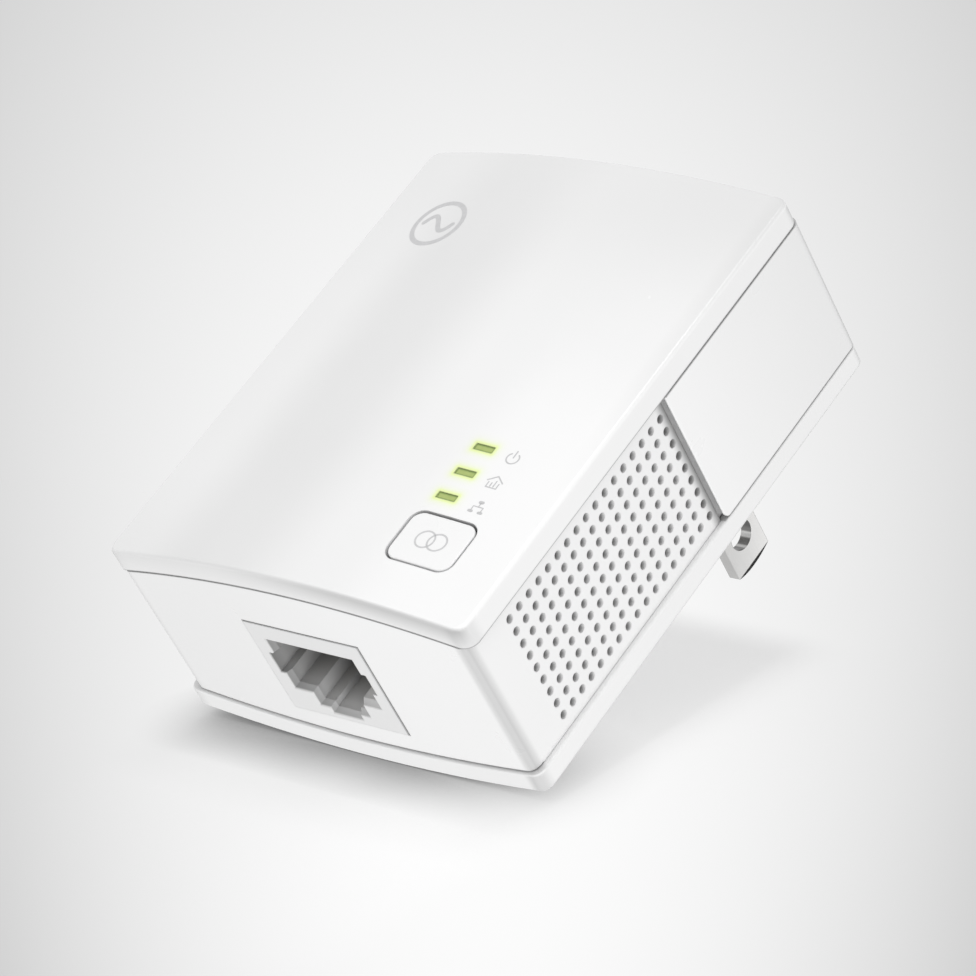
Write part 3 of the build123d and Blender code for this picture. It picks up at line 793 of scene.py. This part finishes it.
# the parts that wear each look
PARTS = {
    "front": ("front_cover",),
    "case": ("mid_housing",),
    "back": ("back_cover",),
    "button": ("pair_button",),
    "plug": ("plug_base",),
    "blade": ("plug_blade_left", "plug_blade_right"),
    "brass": ("blade_terminal_left", "blade_terminal_right"),
    "screw": ("case_screws",),
    "film": ("rating_label",),
    "board": ("main_board",),
    "socket": ("socket_housing",),
    "gold": ("socket_contacts",),
    "black": ("switch_body", "transformer_base", "signal_coupler"),
    "chip": (
        "switch_plunger", "bridge_rectifier", "network_isolator", "modem_chip",
        "memory_chip", "flash_chip", "power_controller",
    ),
    "can_steel": ("switch_dome", "crystal"),
    "pipe": WINDOWS,
    "lamp": ("lamp_power", "lamp_powerline", "lamp_network"),
    "ferrite": ("transformer_core", "choke_core"),
    "tape": ("transformer_winding",),
    "can": ("reservoir_capacitor_a", "reservoir_capacitor_b", "output_capacitor"),
    "film_box": ("suppression_capacitor",),
    "disc": ("surge_absorber",),
    "fuse": ("mains_fuse",),
    "copper": ("choke_windings",),
    "pad": ("thermal_pad",),
    "sink": ("heat_sink",),
}
LOOK_OF = {part: look for look, parts in PARTS.items() for part in parts}

for part, part_object in NODES.items():
    material = LOOKS[LOOK_OF[part]]
    if not part_object.material_slots:
        part_object.data.materials.append(material)
    for slot in part_object.material_slots:
        slot.material = material


def new_object(name, data):
    made = bpy.data.objects.new(name, data)
    bpy.context.scene.collection.objects.link(made)
    return made


# ------------------------------------------------------------- printed marks
# Marks are drawn in millimetres, as x and z from their own origin.
INK_TOP = -0.012 * MM  # the ink's face stands in front of the surface
INK_FOOT = 0.02 * MM  # its underside lies below it
INK_STEP = 0.22 * MM  # longest piece of a line, so that it follows the crown
CAP_ANGLES = (90, 60, 30, 0, -30, -60, -90)  # degrees round a line's end


def ink_verts(bm, points, surface, shift):
    return [bm.verts.new((p.x, surface(p.x) + shift, p.y)) for p in points]


def resample(points, closed):
    path = []
    for i in range(len(points) if closed else len(points) - 1):
        start, end = Vector(points[i]), Vector(points[(i + 1) % len(points)])
        pieces = max(1, int(math.ceil((end - start).length / INK_STEP)))
        for j in range(pieces):
            path.append(start.lerp(end, j / pieces))
    if not closed:
        path.append(Vector(points[-1]))
    return path


def line_sides(path, half, closed):
    """The two sides of a line along path, mitred at its bends."""
    left, right = [], []
    count = len(path)
    for i, point in enumerate(path):
        before = path[(i - 1) % count] if (closed or i > 0) else point
        after = path[(i + 1) % count] if (closed or i < count - 1) else point
        arrive, leave = point - before, after - point
        arrive = arrive.normalized() if arrive.length > 1e-9 else leave.normalized()
        leave = leave.normalized() if leave.length > 1e-9 else arrive
        tangent = (arrive + leave).normalized()
        normal = Vector((-tangent.y, tangent.x))
        mitre = half / max(0.5, normal.dot(Vector((-leave.y, leave.x))))
        left.append(point + normal * mitre)
        right.append(point - normal * mitre)
    return left, right


def round_cap(bm, tip, inner, half, surface):
    """A half-round end in front of the line's last pair of vertices."""
    ahead = (tip - inner).normalized()
    normal = Vector((-ahead.y, ahead.x))
    ring = []
    for degrees in CAP_ANGLES:
        angle = math.radians(degrees)
        ring.append(tip + (ahead * math.cos(angle) + normal * math.sin(angle)) * half)
    top = ink_verts(bm, ring, surface, INK_TOP)
    foot = ink_verts(bm, ring, surface, INK_FOOT)
    bm.faces.new(top)
    bm.faces.new(list(reversed(foot)))
    for i in range(len(top)):
        j = (i + 1) % len(top)
        bm.faces.new((top[j], top[i], foot[i], foot[j]))


def ink_line(bm, points, width, closed, surface):
    """An inked line through points (x, z in metres) lying on y = surface(x)."""
    path = resample(points, closed)
    half = width / 2
    left, right = line_sides(path, half, closed)
    if not closed:
        round_cap(bm, path[0], path[1], half, surface)
        round_cap(bm, path[-1], path[-2], half, surface)
    top_l = ink_verts(bm, left, surface, INK_TOP)
    top_r = ink_verts(bm, right, surface, INK_TOP)
    foot_l = ink_verts(bm, left, surface, INK_FOOT)
    foot_r = ink_verts(bm, right, surface, INK_FOOT)
    for i in range(len(path) if closed else len(path) - 1):
        j = (i + 1) % len(path)
        bm.faces.new((top_l[i], top_l[j], top_r[j], top_r[i]))
        bm.faces.new((foot_l[j], foot_l[i], foot_r[i], foot_r[j]))
        bm.faces.new((top_l[j], top_l[i], foot_l[i], foot_l[j]))
        bm.faces.new((top_r[i], top_r[j], foot_r[j], foot_r[i]))
    if not closed:
        bm.faces.new((top_l[0], top_r[0], foot_r[0], foot_l[0]))
        bm.faces.new((top_r[-1], top_l[-1], foot_l[-1], foot_r[-1]))


def arc(radius, start, end, segments, mid_x=0.0):
    """Points on an arc between two angles in degrees."""
    points = []
    for i in range(segments + 1):
        angle = math.radians(start + (end - start) * i / segments)
        points.append((mid_x + radius * math.cos(angle), radius * math.sin(angle)))
    return points


def line(*points, width):
    return points, width, False


def ring(radius, width, segments, mid_x=0.0):
    return arc(radius, 0, 360, segments, mid_x)[:-1], width, True


def mark(name, origin, strokes, look, body="adapter", surface=front_y):
    """strokes are (points, width, closed)."""
    bm = bmesh.new()
    for points, width, closed in strokes:
        placed = [((origin[0] + x) * MM, (origin[1] + z) * MM) for x, z in points]
        ink_line(bm, placed, width * MM, closed, surface)
    bmesh.ops.recalc_face_normals(bm, faces=bm.faces)
    mesh = bpy.data.meshes.new(name)
    bm.to_mesh(mesh)
    bm.free()
    mesh.materials.append(LOOKS[look])
    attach(new_object(name, mesh), body)


def centre(node):
    mid_x, mid_z, _, _ = footprint(node)
    return mid_x / MM, mid_z / MM


def button_y(x):
    return front_y(x) + 0.02 * MM


ICON_X = 17.62
NET_X = ICON_X + 0.32
POWER_Z, HOUSE_Z, NET_Z = (
    centre(window)[1] - drop for window, drop in zip(WINDOWS, (0.32, 0.22, 0.22))
)
EMBLEM_AT = (-15.6, 20.4 + MID_Z / MM)

# on and off symbol: open ring with a bar
mark(
    "mark_power",
    (ICON_X, POWER_Z),
    [
        line(*arc(radius=0.74, start=128, end=412, segments=40), width=0.17),
        line((0, 0.10), (0, 1.04), width=0.17),
    ],
    look="ink",
)
# house with plain lines inside for the house wiring
mark(
    "mark_house_wiring",
    (ICON_X, HOUSE_Z),
    [
        line((-0.98, 0.10), (0, 0.86), (0.98, 0.10), width=0.16),
        line((-0.66, -0.08), (-0.66, -0.78), (0.66, -0.78), (0.66, -0.08), width=0.14),
        line((-0.22, -0.60), (-0.22, -0.12), width=0.14),
        line((0.20, -0.60), (0.20, 0.22), width=0.14),
    ],
    look="ink",
)
# wired network: one node above two
mark(
    "mark_wired_network",
    (NET_X, NET_Z),
    [
        line((-0.16, 0.66), (0.16, 0.66), width=0.40),
        line((0, 0.56), (0, 0.02), width=0.13),
        line((-0.62, -0.52), (-0.62, 0.02), (0.62, 0.02), (0.62, -0.52), width=0.13),
        line((-0.78, -0.68), (-0.46, -0.68), width=0.36),
        line((0.46, -0.68), (0.78, -0.68), width=0.36),
    ],
    look="ink",
)
# two linked rings on the button, a sign for joining two devices
mark(
    "mark_join_devices",
    centre("pair_button"),
    [ring(radius=1.12, width=0.21, segments=48, mid_x=mid_x) for mid_x in (-0.78, 0.78)],
    look="ink_pale",
    body="button",
    surface=button_y,
)
# plain emblem: a ring with one mains wave
WAVE_STEPS = 36
wave = [
    (-2.3 + 4.6 * i / WAVE_STEPS, 1.15 * math.sin(2 * math.pi * i / WAVE_STEPS))
    for i in range(WAVE_STEPS + 1)
]
mark(
    "mark_mains_wave",
    EMBLEM_AT,
    [ring(radius=3.35, width=0.62, segments=72), line(*wave, width=0.62)],
    look="ink_pale",
)

# ------------------------------------------------------------------ the stage
# The case lies on its back: it rests on the low edge of the back cover and on the blade
# tips. The floor is the plane through those.
blade_lo, blade_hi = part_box("plug_blade_right")
edge_rest = Vector((0.0, BACK_HI.y, BACK_LO.z + 0.0006))
blade_rest = Vector((0.0, blade_hi.y - 0.0002, blade_lo.z + 0.0012))
along = (blade_rest - edge_rest).normalized()
up = Vector((1, 0, 0)).cross(along).normalized()
if up.y > 0:
    up = -up
middle = (CAD_LO + CAD_HI) / 2
floor_at = edge_rest - up * 0.00015
foot = middle - up * (middle - floor_at).dot(up)


def add_camera():
    data = bpy.data.cameras.new("camera")
    camera = new_object("camera", data)
    right = Vector((0.7465531, 0.38608813, 0.54184354))
    upward = Vector((-0.14973663, -0.69600974, 0.70224596))
    forward = Vector((-0.64825721, 0.60539772, 0.46179669))
    eye = Vector((0.3055354, -0.3030146, -0.2408265))
    turn = Matrix((right, upward, -forward)).transposed()
    camera.matrix_world = Matrix.Translation(eye) @ turn.to_4x4()
    data.sensor_width = 36.0
    data.lens = 157.878
    data.clip_start = 0.01
    data.clip_end = 10.0
    bpy.context.scene.camera = camera


def vignette(graph):
    """Pale backdrop, brightest low in the frame and falling off to the corners."""
    window_x, window_y, _ = graph.split(graph.coords("Window"))
    x = window_x - 0.5
    y = window_y - 0.5
    xx = x * x
    yy = y * y
    # a polynomial in the place in the frame, measured from its middle
    return 0.965 + y * -0.1405 + xx * -0.926 + yy * -0.298 + xx * y * 0.674


def add_world():
    """An even pale room, with dark flags that only polished surfaces reflect."""
    world = bpy.data.worlds.new("studio")
    world.use_nodes = True
    bpy.context.scene.world = world
    graph = Graph(world.node_tree)
    ray = graph.add("LightPath")
    direction = graph.coords("Generated")

    def flag(towards, over, keep):
        """Darkens the room round one direction down to keep; over is in cosines."""
        cosine = graph.dot(direction, Vector(towards).normalized())
        return cosine.ramp(over=over, to=(1.0, keep), smooth=True)

    behind = flag((-0.07, 0.88, 0.46), over=(0.80, 0.96), keep=0.02)
    low_left = flag((-0.65, 0.60, -0.46), over=(0.78, 0.96), keep=0.60)
    seen = graph.value("Background", {"Color": vignette(graph)})
    lit = graph.value("Background", {"Color": (1, 1, 1), "Strength": 0.75})
    gloss = graph.value("Background", {"Color": behind * low_left, "Strength": 0.90})
    room = graph.mix_shader(ray.outputs["Is Glossy Ray"], lit, gloss)
    picked = graph.mix_shader(ray.outputs["Is Camera Ray"], room, seen)
    graph.add("OutputWorld", {0: picked})


def disc_mesh(radius, rings, segments):
    """A flat disc round foot, facing up."""
    bm = bmesh.new()
    centre_vert = bm.verts.new(foot)
    inner = None
    for i in range(1, rings + 1):
        r = radius * i / rings
        outer = []
        for k in range(segments):
            angle = 2 * math.pi * k / segments
            across = Vector((1, 0, 0)) * r * math.cos(angle)
            outer.append(bm.verts.new(foot + across + along * r * math.sin(angle)))
        for k in range(segments):
            after = (k + 1) % segments
            if inner is None:
                bm.faces.new((centre_vert, outer[k], outer[after]))
            else:
                bm.faces.new((inner[k], outer[k], outer[after], inner[after]))
        inner = outer
    bmesh.ops.recalc_face_normals(bm, faces=bm.faces)
    mesh = bpy.data.meshes.new("floor")
    bm.to_mesh(mesh)
    bm.free()
    if mesh.polygons[0].normal.dot(up) < 0:
        mesh.flip_normals()
    return mesh


def floor_paper():
    """Backdrop paper that takes a faint shadow and fades out into the backdrop.

    Part of its light is even, so the broad shadow stays faint and keeps to the floor right
    under the case; a short-range occlusion deepens it where the case touches the floor.
    """
    material = bpy.data.materials.new("floor_paper")
    material.use_nodes = True
    graph = Graph(material.node_tree)
    point = graph.coords("Object")
    across = graph.split(point)[0]
    length = graph.dot(point, along)
    end_at = edge_rest.dot(along)

    def along_case(start, end, to):
        return length.ramp(over=(end_at + start, end_at + end), to=to, smooth=True)

    # contact shadow: deep at the low end and on the left, shallow to the right and up the case
    depth = across.ramp(over=(0.002, 0.026), to=(0.78, 0.15), smooth=True)
    depth = depth * along_case(0.004, 0.022, to=(1.0, 0.0))
    depth = depth + along_case(0.036, 0.046, to=(0.10, 0.0))
    contact = graph.openness(distance=0.0085, samples=12) ** depth
    # share of the light that casts the broad shadow
    broad = along_case(-0.002, 0.020, to=(0.34, 0.66))
    broad = broad * along_case(0.0395, 0.0470, to=(1.0, 0.04))
    broad = broad * abs(across).ramp(over=(0.0240, 0.0320), to=(1.0, 0.15), smooth=True)
    pale = vignette(graph) * contact
    shadow_gain = 1.06  # lifts the shadowed share back to the level of the even one
    paper = graph.value("BsdfDiffuse", {"Color": pale * shadow_gain})
    even = graph.value("Emission", {"Color": pale})
    mixed = graph.mix_shader(broad, even, paper)
    # it fades with distance, is clear from below and fades when seen almost edge-on
    inputs = {0: graph.coords("Object"), 1: foot}
    distance = graph.value("VectorMath", inputs, output="Value", operation="DISTANCE")
    fade = distance.ramp(over=(0.075, 0.19), to=(1.0, 0.0), smooth=True)
    geometry = graph.add("NewGeometry")
    upper_side = graph.math("SUBTRACT", 1.0, geometry.outputs["Backfacing"])
    graze = abs(graph.dot(geometry.outputs["Incoming"], geometry.outputs["Normal"]))
    visible = fade * upper_side * graze.ramp(over=(0.14, 0.24), smooth=True)
    blend = graph.mix_shader(visible, graph.value("BsdfTransparent"), mixed)
    graph.add("OutputMaterial", {0: blend})
    return material


def add_floor():
    """Floor disc, seen by the camera only."""
    mesh = disc_mesh(radius=0.34, rings=12, segments=96)
    floor = new_object("floor", mesh)
    for ray in ("diffuse", "glossy", "transmission", "shadow"):
        setattr(floor, "visible_" + ray, False)
    mesh.materials.append(floor_paper())


def softbox(name, at, size, power, aim=middle):
    """Square area light at a place, turned towards aim."""
    light = bpy.data.lights.new(name, "AREA")
    light.shape = "RECTANGLE"
    light.size = size
    light.size_y = size
    light.energy = power
    holder = new_object(name, light)
    holder.location = at
    holder.rotation_euler = (aim - at).to_track_quat("-Z", "Y").to_euler()


add_camera()
add_world()
add_floor()
# key straight above the floor: the soft shadow lies right under the case
softbox("key", at=middle + up * 0.62, size=0.20, power=0.70)
# low fill from under the floor's level, beyond the low end and the right side
softbox("fill_low", at=middle + Vector((0.36, 0.00, -0.37)), size=0.40, power=1.02)
# small front light near the lower right corner, so the front brightens that way
softbox(
    "fill_front",
    at=Vector((0.040, -0.105, -0.045)),
    size=0.05,
    power=0.0060,
    aim=Vector((0.012, -0.035, -0.038)),
)

bpy.context.scene.view_settings.view_transform = "Standard"
